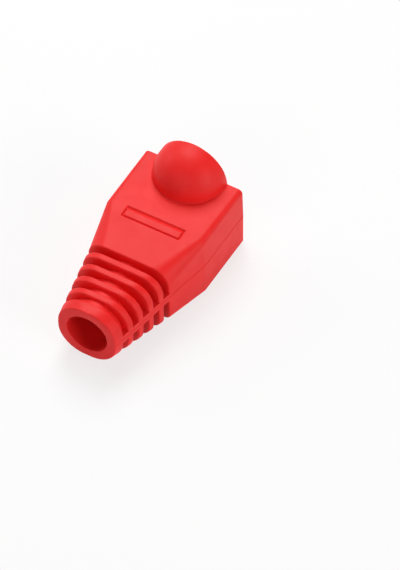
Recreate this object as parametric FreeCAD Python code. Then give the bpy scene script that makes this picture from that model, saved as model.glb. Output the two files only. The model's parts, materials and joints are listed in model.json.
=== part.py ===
import FreeCAD, Part
import math
import os

# Strain relief boot for an eight-way modular plug, moulded in one piece.
# The mouth that takes the plug faces +Y, the cable leaves at -Y, the dome is on top.
# The origin is under the middle of the boot, at the height of its underside.

# Driving sizes, in millimetres

# outer skin
mouthWidth = 14.5
mouthHeight = 9.6
mouthTopRadius = 0.65
mouthUnderRadius = 0.1
straightLength = 9.75
taperLength = 6.35
kinkTopRadius = 0.9
neckWidth = 12.1
neckTopDrop = 0.55
neckUnderRise = 0.4
neckTopRadius = 2.5
neckUnderRadius = 0.8
tailWidth = 8.4
tailHeight = 8.3
tailRadius = 3.75
axisHeight = 4.85
upperDraftDegrees = 1.5
lowerDraftDegrees = 0.1
rimRadius = 0.12
leastLand = 0.05

# flexing ribs
grooveCount = 5
groovePitch = 1.95
grooveWidth = 1.0
neckLand = 0.43
collarLength = 1.57
webHeight = 1.25
grooveDepthAtNeck = 0.95
grooveDepthAtTail = 0.27
ribEdgeRadius = 0.2

# cable bore
boreRadius = 2.9

# plug socket
plugWidth = 11.7
plugHeight = 6.6
plugSideClearance = 0.2
plugHeightClearance = 0.3
floorThickness = 1.2
socketDepth = 9.2
socketCornerRadius = 0.4

# dome over the latch
domeRadius = 4.9
domeStraight = 1.0
domeWall = 1.0
domeBlendRadius = 0.12

# rectangular frame on the top face
frameLength = 8.6
frameWidth = 1.85
frameLine = 0.36
frameWallRun = 0.17
frameCoveRun = 0.55
frameDepth = 0.26
panelDepth = 0.03
frameBehindKink = 0.55

# Sizes that follow from the others

ribLength = neckLand + (grooveCount - 1) * groovePitch + grooveWidth + collarLength
bodyLength = straightLength + taperLength + ribLength
mouthY = bodyLength / 2
kinkY = mouthY - straightLength
neckY = kinkY - taperLength
tailY = -bodyLength / 2
socketWidth = plugWidth + 2 * plugSideClearance
socketTop = floorThickness + plugHeight + 2 * plugHeightClearance
socketEndY = mouthY - socketDepth
domeY = mouthY - domeStraight
frameY = kinkY - frameBehindKink
coreRadiusAtNeck = mouthHeight - neckTopDrop - axisHeight - grooveDepthAtNeck
coreRadiusAtTail = min(tailWidth, tailHeight) / 2 - grooveDepthAtTail

# round edges, limited by the walls that carry them
tailCorner = min(tailRadius, min(tailWidth, tailHeight) / 2 - leastLand)
mouthWall = min(floorThickness, mouthHeight - socketTop, (mouthWidth - socketWidth) / 2, domeWall)
mouthRim = min(rimRadius, (mouthWall - leastLand) / 2)

overrun = 1.0
touching = 1e-3
# the blocks that cut the frame reach this many frame depths above and below the top face
frameAbove = 0.4
frameBelow = 1.5


def point(x, y, z):
    return FreeCAD.Vector(x, y, z)


def roundedOutline(corners, radii):
    """Closed outline through the corners, each turned with its own radius (0 stays sharp)."""
    arcs = []
    starts = []
    ends = []
    for place, corner in enumerate(corners):
        toBefore = (corners[place - 1] - corner).normalize()
        toAfter = (corners[(place + 1) % len(corners)] - corner).normalize()
        half = toBefore.getAngle(toAfter) / 2
        radius = radii[place]
        starts.append(corner + toBefore * (radius / math.tan(half)))
        ends.append(corner + toAfter * (radius / math.tan(half)))
        inward = (toBefore + toAfter).normalize()
        middle = corner + inward * (radius / math.sin(half) - radius)
        arcs.append(Part.Arc(starts[-1], middle, ends[-1]).toShape() if radius else None)
    edges = []
    for place, arc in enumerate(arcs):
        if arc:
            edges.append(arc)
        edges.append(Part.LineSegment(ends[place], starts[(place + 1) % len(arcs)]).toShape())
    return Part.Wire(edges)


def skinSection(y, width, bottom, top, topRadius, underRadius):
    """Outline of the skin at y, widest at the parting plane and drafted away from it."""
    half = width / 2
    halfTop = half - (top - axisHeight) * math.tan(math.radians(upperDraftDegrees))
    halfBottom = half - (axisHeight - bottom) * math.tan(math.radians(lowerDraftDegrees))
    corners = [
        point(halfTop, y, top),
        point(-halfTop, y, top),
        point(-half, y, axisHeight),
        point(-halfBottom, y, bottom),
        point(halfBottom, y, bottom),
        point(half, y, axisHeight),
    ]
    return roundedOutline(corners, [topRadius, topRadius, 0, underRadius, underRadius, 0])


def hollowSection(y, width, bottom, top, radius):
    """Outline of the hollow at y."""
    half = width / 2
    corners = [
        point(half, y, top),
        point(-half, y, top),
        point(-half, y, bottom),
        point(half, y, bottom),
    ]
    return roundedOutline(corners, [radius] * len(corners))


def loft(sections):
    return Part.makeLoft(sections, True, True)


def wrap(sections):
    """Solid skin through the outlines, flat between straight edges and ruled between arcs."""
    faces = [Part.Face(sections[0]), Part.Face(sections[-1])]
    for first, second in zip(sections, sections[1:]):
        for near, far in zip(first.OrderedEdges, second.OrderedEdges):
            if near.Curve.TypeId == "Part::GeomLine":
                ends = [near.firstVertex(True).Point, near.lastVertex(True).Point,
                        far.lastVertex(True).Point, far.firstVertex(True).Point]
                faces.append(Part.Face(Part.makePolygon(ends, True)))
            else:
                faces.append(Part.makeRuledSurface(near, far))
    shell = Part.makeShell(faces)
    shell.sewShape()
    return Part.makeSolid(shell)


def block(xSize, yFrom, yTo, zFrom, zTo):
    return Part.makeBox(xSize, yTo - yFrom, zTo - zFrom, point(-xSize / 2, yFrom, zFrom))


def domeShape(radius, frontY, bottom):
    """Arch closed by a quarter of a ball above the top face, carried straight down to bottom."""
    ball = Part.makeSphere(radius, point(0, domeY, mouthHeight))
    arch = Part.makeCylinder(radius, frontY - domeY, point(0, domeY, mouthHeight), point(0, 1, 0))
    post = Part.makeCylinder(radius, mouthHeight - bottom, point(0, domeY, bottom))
    sides = block(2 * radius, domeY, frontY, bottom, mouthHeight)
    room = block(4 * radius, domeY - 2 * radius, frontY, bottom, mouthHeight + 2 * radius)
    return ball.multiFuse([arch, post, sides]).common(room).removeSplitter()


def topAt(y):
    """Height of the top face at y, from the mouth to the neck."""
    return mouthHeight - neckTopDrop * max(0, kinkY - y) / taperLength


def slopedBlock(length, yFrom, yTo, run, farRun):
    """Block through the top face, whose sides lean out by run, and by farRun at yTo, in a frame's depth."""
    outlines = []
    for lean in (frameAbove, -frameBelow):
        halfLength = length / 2 + lean * run
        near = yFrom - lean * run
        far = yTo + lean * farRun
        nearHeight = topAt(yFrom) + lean * frameDepth
        farHeight = topAt(yTo) + lean * frameDepth
        outlines.append(Part.makePolygon([
            point(-halfLength, near, nearHeight),
            point(halfLength, near, nearHeight),
            point(halfLength, far, farHeight),
            point(-halfLength, far, farHeight),
        ], True))
    return loft(outlines)


def middleOf(edge):
    return edge.valueAt((edge.FirstParameter + edge.LastParameter) / 2)


def edgesAt(shape, y):
    """Edges of the shape that lie in the plane across the boot at y."""
    return [edge for edge in shape.Edges
            if edge.BoundBox.YLength < touching and abs(middleOf(edge).y - y) < touching]


# Outer skin: straight part, tapered part and the part the ribs are cut from
mouthSection = skinSection(mouthY, mouthWidth, 0, mouthHeight, mouthTopRadius, mouthUnderRadius)
kinkSection = skinSection(kinkY, mouthWidth, 0, mouthHeight, kinkTopRadius, mouthUnderRadius)
neckSection = skinSection(neckY, neckWidth, neckUnderRise, mouthHeight - neckTopDrop,
                          neckTopRadius, neckUnderRadius)
tailSection = skinSection(tailY, tailWidth, axisHeight - tailHeight / 2,
                          axisHeight + tailHeight / 2, tailCorner, tailCorner)
skin = wrap([mouthSection, kinkSection, neckSection, tailSection])

# Dome over the latch, blended into the top face around its foot
dome = domeShape(domeRadius, mouthY, mouthHeight - floorThickness / 2)
outside = skin.fuse(dome).removeSplitter()
domeFoot = []
for edge in outside.Edges:
    level = edge.BoundBox.ZLength < touching and abs(middleOf(edge).z - mouthHeight) < touching
    if level and abs(middleOf(edge).x) < domeRadius + touching and middleOf(edge).y < mouthY:
        domeFoot.append(edge)
outside = outside.makeFillet(domeBlendRadius, domeFoot)
outside = outside.makeFillet(rimRadius, edgesAt(outside, tailY))

# Frame: a shallow rectangular line sunk to an even depth across the kink, round a shallow panel.
# Its walls slope, and the panel's far side falls to the line in a gentle cove.
# Known fault: at exactly these sizes the kernel gives frameBlock back whole from its cut by panelBlock,
# so the whole rectangle is sunk to frameDepth and the boot has no panel inside the line.
frameBlock = slopedBlock(frameLength, frameY - frameWidth / 2, frameY + frameWidth / 2,
                         frameWallRun, frameWallRun)
panelBlock = slopedBlock(frameLength - 2 * frameLine, frameY - frameWidth / 2 + frameLine,
                         frameY + frameWidth / 2 - frameLine + frameWallRun - frameCoveRun,
                         -frameWallRun, -frameCoveRun)
frameFloor = skin.copy()
frameFloor.translate(point(0, 0, -frameDepth))
panelFloor = skin.copy()
panelFloor.translate(point(0, 0, -panelDepth))
frame = frameBlock.cut(panelBlock).cut(frameFloor).fuse(panelBlock.cut(panelFloor))

# Grooves: slots across the ribs, stopped by the round core and by the side webs
slots = []
slotFaces = []
for step in range(grooveCount):
    slotStart = neckY - neckLand - step * groovePitch
    slotFaces += [slotStart, slotStart - grooveWidth]
    slots.append(block(mouthWidth, slotStart - grooveWidth, slotStart,
                       axisHeight - mouthHeight, axisHeight + mouthHeight))
core = Part.makeCone(coreRadiusAtTail, coreRadiusAtNeck, ribLength,
                     point(0, tailY, axisHeight), point(0, 1, 0))
webs = block(mouthWidth, tailY, neckY, axisHeight - webHeight / 2, axisHeight + webHeight / 2)
grooves = slots[0].multiFuse(slots[1:]).cut(core).cut(webs)
ribbed = outside.cut(grooves).cut(frame).removeSplitter()

# Soft rib edges, wherever a groove opens through the skin
ribEdges = []
for face in slotFaces:
    for edge in edgesAt(ribbed, face):
        if skin.Shells[0].distToShape(Part.Vertex(middleOf(edge)))[0] < touching:
            ribEdges.append(edge)
ribbed = ribbed.makeFillet(ribEdgeRadius, ribEdges)

# Hollow: plug socket, throat, bore and the room for the latch under the dome
socket = loft([
    hollowSection(mouthY + overrun, socketWidth, floorThickness, socketTop, socketCornerRadius),
    hollowSection(socketEndY, socketWidth, floorThickness, socketTop, socketCornerRadius),
])
throat = loft([
    hollowSection(socketEndY, socketWidth, floorThickness, socketTop, socketCornerRadius),
    hollowSection(neckY, 2 * boreRadius, axisHeight - boreRadius, axisHeight + boreRadius,
                  0.95 * boreRadius),
])
bore = Part.makeCylinder(boreRadius, ribLength + 0.5 * taperLength, point(0, tailY, axisHeight),
                         point(0, 1, 0))
latchRoom = domeShape(domeRadius - domeWall, mouthY + overrun, socketTop - socketCornerRadius)
boot = ribbed.cut(socket.multiFuse([throat, bore, latchRoom])).removeSplitter()

# Soft rims around the mouth and around the cable hole
cableLip = [edge for edge in edgesAt(boot, tailY)
            if abs(edge.Length - 2 * math.pi * boreRadius) < touching]
boot = boot.makeFillet(rimRadius, cableLip)
boot = boot.makeFillet(mouthRim, edgesAt(boot, mouthY))

os.makedirs("parts", exist_ok=True)
boot.exportStep("parts/boot.step")
print("solids", len(boot.Solids), "volume", round(boot.Volume, 1), "valid", boot.isValid())
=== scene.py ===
import json
import math

import bmesh
import bpy
from mathutils import Matrix, Vector


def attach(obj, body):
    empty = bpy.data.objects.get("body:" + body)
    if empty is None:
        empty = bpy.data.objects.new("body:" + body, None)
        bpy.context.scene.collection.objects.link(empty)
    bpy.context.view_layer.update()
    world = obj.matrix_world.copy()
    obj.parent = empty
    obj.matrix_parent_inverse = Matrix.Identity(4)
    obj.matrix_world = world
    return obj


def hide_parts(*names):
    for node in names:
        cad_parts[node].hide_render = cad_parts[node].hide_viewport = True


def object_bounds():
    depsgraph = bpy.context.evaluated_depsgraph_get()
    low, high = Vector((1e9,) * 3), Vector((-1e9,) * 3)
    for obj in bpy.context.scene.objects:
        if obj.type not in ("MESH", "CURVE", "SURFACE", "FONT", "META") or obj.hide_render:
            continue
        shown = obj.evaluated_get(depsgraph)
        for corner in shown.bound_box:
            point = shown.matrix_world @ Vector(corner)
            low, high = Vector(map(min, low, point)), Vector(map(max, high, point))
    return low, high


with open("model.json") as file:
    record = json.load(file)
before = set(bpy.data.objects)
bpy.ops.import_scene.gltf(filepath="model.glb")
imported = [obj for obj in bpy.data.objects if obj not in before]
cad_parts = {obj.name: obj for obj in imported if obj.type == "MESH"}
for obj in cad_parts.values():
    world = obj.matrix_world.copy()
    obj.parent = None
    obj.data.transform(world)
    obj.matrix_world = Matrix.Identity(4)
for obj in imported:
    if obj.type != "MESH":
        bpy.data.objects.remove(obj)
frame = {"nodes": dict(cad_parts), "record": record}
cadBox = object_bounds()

# A strain relief boot for a modular plug, moulded in soft red vinyl.
# Lengths are in metres. The mouth faces +Y, the cable hole -Y, and the dome is on top.

mm = 0.001
mounts = {mount["name"]: mount for mount in frame["record"]["mounts"]}
axisHeight = mounts["cable_bore"]["pos_m"][2]   # the two halves of the mould meet at this height


def newObject(name, mesh, material):
    data = bpy.data.meshes.new(name)
    mesh.to_mesh(data)
    mesh.free()
    piece = bpy.data.objects.new(name, data)
    bpy.context.scene.collection.objects.link(piece)
    data.materials.append(material)
    return piece


vinylLook = {
    "deepRed": (0.81, 0.014, 0.013),
    "paleRed": (0.84, 0.018, 0.017),
    "smoothRoughness": 0.48,
    "dullRoughness": 0.52,
    "specular": 0.22,
    "grainScale": 9000.0,        # lumps in a metre of surface
    "grainDetail": 3.0,
    "grainDepth": 0.004 * mm,
    "cloudScale": 420.0,
    "cloudDetail": 2.0,
    "cloudLow": 0.3,             # noise at this level or under it is a cloud of 0
    "cloudHigh": 0.7,            # and at this level or over it a cloud of 1
}


# Grain and tone are shared effects, so each is a node group

def newGroup(name, inputs, output):
    group = bpy.data.node_groups.new(name, "ShaderNodeTree")
    for socket, value in inputs.items():
        item = group.interface.new_socket(socket, in_out="INPUT", socket_type="NodeSocketFloat")
        item.default_value = value
    group.interface.new_socket(output, in_out="OUTPUT", socket_type="NodeSocketFloat")
    return group, group.nodes.new("NodeGroupInput"), group.nodes.new("NodeGroupOutput")


def pieceNoise(group, given):
    # noise that lies still on the piece, with its scale from the group's input
    place = group.nodes.new("ShaderNodeTexCoord")
    noise = group.nodes.new("ShaderNodeTexNoise")
    group.links.new(place.outputs["Object"], noise.inputs["Vector"])
    group.links.new(given.outputs["Scale"], noise.inputs["Scale"])
    return noise


def mouldGrainGroup():
    # height of the fine, even grain that a blasted mould leaves
    inputs = {"Scale": vinylLook["grainScale"], "Detail": vinylLook["grainDetail"]}
    group, given, result = newGroup("mouldGrain", inputs, "Height")
    noise = pieceNoise(group, given)
    group.links.new(given.outputs["Detail"], noise.inputs["Detail"])
    group.links.new(noise.outputs["Fac"], result.inputs["Height"])
    return group


def cloudGroup():
    # broad soft clouds between 0 and 1, for the uneven tone of moulded vinyl
    group, given, result = newGroup("vinylClouds", {"Scale": vinylLook["cloudScale"]}, "Cloud")
    noise = pieceNoise(group, given)
    noise.inputs["Detail"].default_value = vinylLook["cloudDetail"]
    spread = group.nodes.new("ShaderNodeMapRange")
    spread.inputs["From Min"].default_value = vinylLook["cloudLow"]
    spread.inputs["From Max"].default_value = vinylLook["cloudHigh"]
    group.links.new(noise.outputs["Fac"], spread.inputs["Value"])
    group.links.new(spread.outputs["Result"], result.inputs["Cloud"])
    return group


def groupNode(tree, group):
    node = tree.nodes.new("ShaderNodeGroup")
    node.node_tree = group
    return node


def vinylMaterial():
    material = bpy.data.materials.new("vinyl")
    material.use_nodes = True
    tree = material.node_tree
    shader = tree.nodes["Principled BSDF"]
    shader.inputs["Specular IOR Level"].default_value = vinylLook["specular"]
    tone = groupNode(tree, cloudGroup())
    colour = tree.nodes.new("ShaderNodeMix")
    colour.data_type = "RGBA"
    colour.inputs["A"].default_value = (*vinylLook["deepRed"], 1)
    colour.inputs["B"].default_value = (*vinylLook["paleRed"], 1)
    tree.links.new(tone.outputs["Cloud"], colour.inputs["Factor"])
    tree.links.new(colour.outputs["Result"], shader.inputs["Base Color"])
    polish = tree.nodes.new("ShaderNodeMapRange")
    polish.inputs["To Min"].default_value = vinylLook["dullRoughness"]
    polish.inputs["To Max"].default_value = vinylLook["smoothRoughness"]
    tree.links.new(tone.outputs["Cloud"], polish.inputs["Value"])
    tree.links.new(polish.outputs["Result"], shader.inputs["Roughness"])
    grain = groupNode(tree, mouldGrainGroup())
    bump = tree.nodes.new("ShaderNodeBump")
    bump.inputs["Distance"].default_value = vinylLook["grainDepth"]
    tree.links.new(grain.outputs["Height"], bump.inputs["Height"])
    tree.links.new(bump.outputs["Normal"], shader.inputs["Normal"])
    return material


vinyl = vinylMaterial()
print("vinyl made")


skinSizes = {
    "weldDistance": 0.0005 * mm,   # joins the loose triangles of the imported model
    "levelAngle": 0.15,            # degrees, triangles this level with each other are one flat
    "largeFlat": 10 * mm * mm,     # a flat this large creases where it meets another flat
    "smallFlat": 1 * mm * mm,      # the other flat is at least this large
    "creaseAngle": 0.8,            # degrees, flatter than this is no crease
    "edgeAngle": 32,               # degrees, anything sharper than this is an edge
}


def weldedBoot():
    mesh = bmesh.new()
    mesh.from_mesh(frame["nodes"]["boot"].data)
    bmesh.ops.remove_doubles(mesh, verts=mesh.verts, dist=skinSizes["weldDistance"])
    return mesh


def isCrease(edge):
    # flats keep a crisp crease between them, and the facets of a curve stay smooth
    smaller, larger = sorted(face.calc_area() for face in edge.link_faces)
    angle = math.degrees(edge.calc_face_angle())
    return angle > skinSizes["edgeAngle"] or (
        angle > skinSizes["creaseAngle"]
        and smaller > skinSizes["smallFlat"] and larger > skinSizes["largeFlat"])


def bootSkin():
    mesh = weldedBoot()
    bmesh.ops.dissolve_limit(mesh, angle_limit=math.radians(skinSizes["levelAngle"]),
                             verts=mesh.verts, edges=mesh.edges)
    for edge in mesh.edges:
        edge.smooth = not isCrease(edge)
    for face in mesh.faces:
        face.smooth = True
    bmesh.ops.triangulate(mesh, faces=mesh.faces)
    piece = newObject("boot_skin", mesh, vinyl)
    normals = piece.modifiers.new("flats stay flat", "WEIGHTED_NORMAL")
    normals.keep_sharp = True
    return piece


skin = bootSkin()
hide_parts("boot")
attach(skin, "root")
print("boot skin", len(skin.data.polygons), "faces")


seamSizes = {
    "width": 0.11 * mm,
    "height": 0.035 * mm,
    "seat": 0.03 * mm,        # how far the ridge is let into the skin
    "facing": 0.7,            # the outer skin looks sideways at least this much
}


def seamRidge(side):
    # the fine line of flash that runs along one side where the halves of the mould meet
    onPlane = skinSizes["weldDistance"]
    width = seamSizes["width"]
    seat = seamSizes["seat"]
    ridge = weldedBoot()
    bmesh.ops.bisect_plane(ridge, geom=[*ridge.verts, *ridge.edges, *ridge.faces],
                           dist=onPlane, plane_co=(0, 0, axisHeight), plane_no=(0, 0, 1))
    outer = {edge for edge in ridge.edges
             if all(abs(vert.co.z - axisHeight) < onPlane for vert in edge.verts)
             and all(face.normal.x * side > seamSizes["facing"] for face in edge.link_faces)
             and edge.verts[0].co.x * side > 0}
    bmesh.ops.delete(ridge, geom=[edge for edge in ridge.edges if edge not in outer],
                     context="EDGES")
    bmesh.ops.delete(ridge, geom=[vert for vert in ridge.verts if not vert.link_edges],
                     context="VERTS")
    # the row of edges is drawn out, across, back in and down again, to a blunt ridge
    bmesh.ops.translate(ridge, verts=ridge.verts, vec=(-side * seat, 0, -width / 2))
    row = list(ridge.edges)
    out = side * (seat + seamSizes["height"])
    for step in ((out, 0, width / 4), (0, 0, width / 2), (-out, 0, width / 4), (0, 0, -width)):
        grown = bmesh.ops.extrude_edge_only(ridge, edges=row)["geom"]
        row = [item for item in grown if isinstance(item, bmesh.types.BMEdge)]
        verts = [item for item in grown if isinstance(item, bmesh.types.BMVert)]
        bmesh.ops.translate(ridge, verts=verts, vec=step)
    bmesh.ops.remove_doubles(ridge, verts=ridge.verts, dist=onPlane)
    bmesh.ops.holes_fill(ridge, edges=ridge.edges, sides=0)
    bmesh.ops.recalc_face_normals(ridge, faces=ridge.faces)
    for face in ridge.faces:
        face.smooth = True
    return ridge


for sideName, side in (("left", -1), ("right", 1)):
    ridge = newObject("seam_" + sideName, seamRidge(side), vinyl)
    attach(ridge, "root")
    print("seam", sideName, len(ridge.data.polygons), "faces")


# The solid has the whole rectangle of the frame sunk, with no panel in it, so it is made here.
# Its sizes repeat the solid's. Once the solid has its own panel, this piece goes.
panelSizes = {
    "faceHeight": 9.6 * mm,       # the top face behind the kink
    "kink": 3.7 * mm,
    "fall": 0.0866,               # the face falls this steeply from the kink towards the tail
    "footLength": 8.22 * mm,
    "topLength": 7.92 * mm,
    "footNear": 2.415 * mm,
    "topNear": 2.565 * mm,
    "topFar": 3.50 * mm,          # the far side falls to the sunk floor in a gentle cove
    "footFar": 3.885 * mm,
    "footDepth": 0.28 * mm,       # deeper than the sunk rectangle, so that the foot is seated
    "topDepth": 0.03 * mm,
    "softEdge": 0.04 * mm,
    "edgeSteps": 3,
    "edgeRound": 0.5,             # 0.5 is a round edge
}


def placeOutline(verts, length, near, far, depth):
    # spreads four corners to a rectangle that follows the top face at one depth
    centre = sum(vert.co.y for vert in verts) / len(verts)
    for vert in verts:
        vert.co.x = math.copysign(length / 2, vert.co.x)
        vert.co.y = far if vert.co.y > centre else near
        fallen = panelSizes["fall"] * max(0, panelSizes["kink"] - vert.co.y)
        vert.co.z = panelSizes["faceHeight"] - fallen - depth


def framePanel():
    # the panel that stands inside the sunk rectangle and leaves a line round it
    mesh = bmesh.new()
    bmesh.ops.create_grid(mesh, x_segments=1, y_segments=1, size=mm)
    placeOutline(list(mesh.verts), panelSizes["footLength"], panelSizes["footNear"],
                 panelSizes["footFar"], panelSizes["footDepth"])
    grown = bmesh.ops.extrude_face_region(mesh, geom=list(mesh.faces))["geom"]
    top = {item for item in grown if isinstance(item, bmesh.types.BMVert)}
    placeOutline(top, panelSizes["topLength"], panelSizes["topNear"],
                 panelSizes["topFar"], panelSizes["topDepth"])
    rim = [edge for edge in mesh.edges if set(edge.verts) <= top]
    bmesh.ops.bevel(mesh, geom=rim, offset=panelSizes["softEdge"], affect="EDGES", material=-1,
                    segments=panelSizes["edgeSteps"], profile=panelSizes["edgeRound"])
    bmesh.ops.recalc_face_normals(mesh, faces=mesh.faces)
    return mesh


panel = newObject("frame_panel", framePanel(), vinyl)
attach(panel, "root")
print("frame panel", len(panel.data.polygons), "faces")


studio = {
    "floorSize": 1.6,
    "floorColour": (0.92, 0.92, 0.92),
    "floorRoughness": 0.9,
    "floorSpecular": 0.1,
    "floorGlow": 0.72,            # how much of the floor is seen, or mirrored, as plain white
    "worldLevel": 0.04,           # plain light from all round
    "worldSeen": 1.0,             # the background as it is seen, where 1 is white
    "lamps": {                    # place, width and power of each soft lamp
        "back": ((-0.14, 0.24, 0.40), 0.28, 1.46),
        "high": ((-0.08, 0.12, 0.48), 0.30, 0.46),
        "left": ((-0.42, 0.02, 0.22), 0.26, 0.52),
        "side": ((0.42, -0.04, 0.16), 0.30, 0.97),
        "tail": ((0.02, -0.44, 0.22), 0.42, 0.54),
    },
}


def seenRays(tree):
    # 1 for what is seen straight, mirrored or through glass, and 0 for what lights the boot
    path = tree.nodes.new("ShaderNodeLightPath")
    seen = path.outputs["Is Camera Ray"]
    for rayKind in ("Is Glossy Ray", "Is Transmission Ray"):
        either = tree.nodes.new("ShaderNodeMath")
        either.operation = "MAXIMUM"
        tree.links.new(seen, either.inputs[0])
        tree.links.new(path.outputs[rayKind], either.inputs[1])
        seen = either.outputs[0]
    return seen


def floorPiece():
    material = bpy.data.materials.new("paleFloor")
    material.use_nodes = True
    tree = material.node_tree
    shader = tree.nodes["Principled BSDF"]
    shader.inputs["Base Color"].default_value = (*studio["floorColour"], 1)
    shader.inputs["Roughness"].default_value = studio["floorRoughness"]
    shader.inputs["Specular IOR Level"].default_value = studio["floorSpecular"]
    glow = tree.nodes.new("ShaderNodeEmission")
    share = tree.nodes.new("ShaderNodeMath")
    share.operation = "MULTIPLY"
    share.inputs[1].default_value = studio["floorGlow"]
    mix = tree.nodes.new("ShaderNodeMixShader")
    tree.links.new(seenRays(tree), share.inputs[0])
    tree.links.new(share.outputs[0], mix.inputs[0])
    tree.links.new(shader.outputs[0], mix.inputs[1])
    tree.links.new(glow.outputs[0], mix.inputs[2])
    tree.links.new(mix.outputs[0], tree.nodes["Material Output"].inputs["Surface"])
    mesh = bmesh.new()
    bmesh.ops.create_grid(mesh, x_segments=1, y_segments=1, size=studio["floorSize"] / 2)
    return newObject("floor", mesh, material)


def paleWorld():
    world = bpy.data.worlds.new("studio")
    world.use_nodes = True
    tree = world.node_tree
    background = tree.nodes["Background"]
    background.inputs["Color"].default_value = (1, 1, 1, 1)
    level = tree.nodes.new("ShaderNodeMapRange")
    level.inputs["To Min"].default_value = studio["worldLevel"]
    level.inputs["To Max"].default_value = studio["worldSeen"]
    tree.links.new(seenRays(tree), level.inputs["Value"])
    tree.links.new(level.outputs["Result"], background.inputs["Strength"])
    return world


def softLamp(name, place, width, power, target):
    data = bpy.data.lights.new(name, "AREA")
    data.shape = "DISK"
    data.size = width
    data.energy = power
    lamp = bpy.data.objects.new(name, data)
    lamp.location = place
    lamp.rotation_euler = (target - Vector(place)).to_track_quat("-Z", "Y").to_euler()
    bpy.context.scene.collection.objects.link(lamp)


floorPiece()
bootMiddle = (cadBox[0] + cadBox[1]) / 2
for lampName, (place, width, power) in studio["lamps"].items():
    softLamp(lampName, place, width, power, bootMiddle)
bpy.context.scene.world = paleWorld()
bpy.context.scene.view_settings.view_transform = "Standard"
print("studio made")


cameraView = {
    "azimuth": 31.49,              # degrees, round from the tail towards +X
    "elevation": 49.27,            # degrees
    "roll": -1.32,                 # degrees, the camera leans to the right
    "distance": 621.4 * mm,
    "nearest": 10 * mm,            # nothing nearer to the camera than this is drawn
    "lens": 310.0,                 # millimetres, on a 36 mm sensor
    "target": (0, 0, 5.18 * mm),
    "aimRight": 7.45 * mm,         # the target sits left of and above the middle of the view
    "aimDown": 2.95 * mm,
}


def viewCamera():
    around = math.radians(cameraView["azimuth"])
    up = math.radians(cameraView["elevation"])
    back = Vector((math.sin(around) * math.cos(up), -math.cos(around) * math.cos(up),
                   math.sin(up)))
    right = Vector((math.cos(around), math.sin(around), 0))
    upward = back.cross(right)
    roll = Matrix.Rotation(math.radians(cameraView["roll"]), 3, back)
    right, upward = roll @ right, roll @ upward
    target = Vector(cameraView["target"])
    place = target + back * cameraView["distance"]
    aim = target + right * cameraView["aimRight"] - upward * cameraView["aimDown"]
    away = (place - aim).normalized()
    across = upward.cross(away).normalized()
    data = bpy.data.cameras.new("camera")
    data.lens = cameraView["lens"]
    data.clip_start = cameraView["nearest"]
    camera = bpy.data.objects.new("camera", data)
    camera.matrix_world = Matrix.Translation(place) @ Matrix(
        (across, away.cross(across), away)).transposed().to_4x4()
    bpy.context.scene.collection.objects.link(camera)
    return camera


bpy.context.scene.camera = viewCamera()
print("camera placed")
